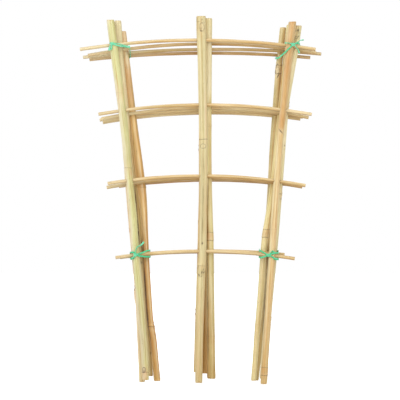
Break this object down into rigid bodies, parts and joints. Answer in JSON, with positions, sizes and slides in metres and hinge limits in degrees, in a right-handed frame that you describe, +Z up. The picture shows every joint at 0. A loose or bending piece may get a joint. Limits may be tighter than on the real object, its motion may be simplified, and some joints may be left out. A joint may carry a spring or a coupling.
{
  "type": "fan trellis",
  "caption": "Bundle of nested bamboo fan trellises: canes that spread upwards, bowed crossbars threaded through drilled holes, and ribbon ties at the corners.",
  "frame": {"origin": "middle of the bounding box, at the height of the lowest cane foot", "axes": "+Z up along the middle canes, +X to the right along the crossbars, and -Y towards the front trellis"},
  "size_m": [0.2954, 0.0396, 0.45],
  "materials": {
    "pale_cane": "waxy pale green-yellow bamboo",
    "straw_cane": "satin straw-coloured bamboo",
    "tan_cane": "satin tan bamboo with dark scars",
    "bar": "dull rounded bamboo rod",
    "tie": "glossy green ribbon"
  },
  "bodies": {
    "root": {"front_left_cane": "pale_cane", "front_middle_cane": "straw_cane", "front_right_cane": "tan_cane", "front_top_bar": "bar", "front_upper_bar": "bar", "front_lower_bar": "bar", "front_bottom_bar": "bar", "second_left_cane": "pale_cane", "second_middle_cane": "straw_cane", "second_right_cane": "straw_cane", "second_top_bar": "bar", "second_upper_bar": "bar", "second_lower_bar": "bar", "second_bottom_bar": "bar", "third_left_cane": "tan_cane", "third_middle_cane": "straw_cane", "third_right_cane": "straw_cane", "third_top_bar": "bar", "third_upper_bar": "bar", "third_lower_bar": "bar", "third_bottom_bar": "bar", "back_left_cane": "tan_cane", "back_middle_cane": "tan_cane", "back_right_cane": "tan_cane", "back_top_bar": "bar", "back_upper_bar": "bar", "back_lower_bar": "bar", "back_bottom_bar": "bar", "top_left_tie": "tie", "top_right_tie": "tie", "bottom_left_tie": "tie", "bottom_right_tie": "tie"}
  },
  "joints": []
}
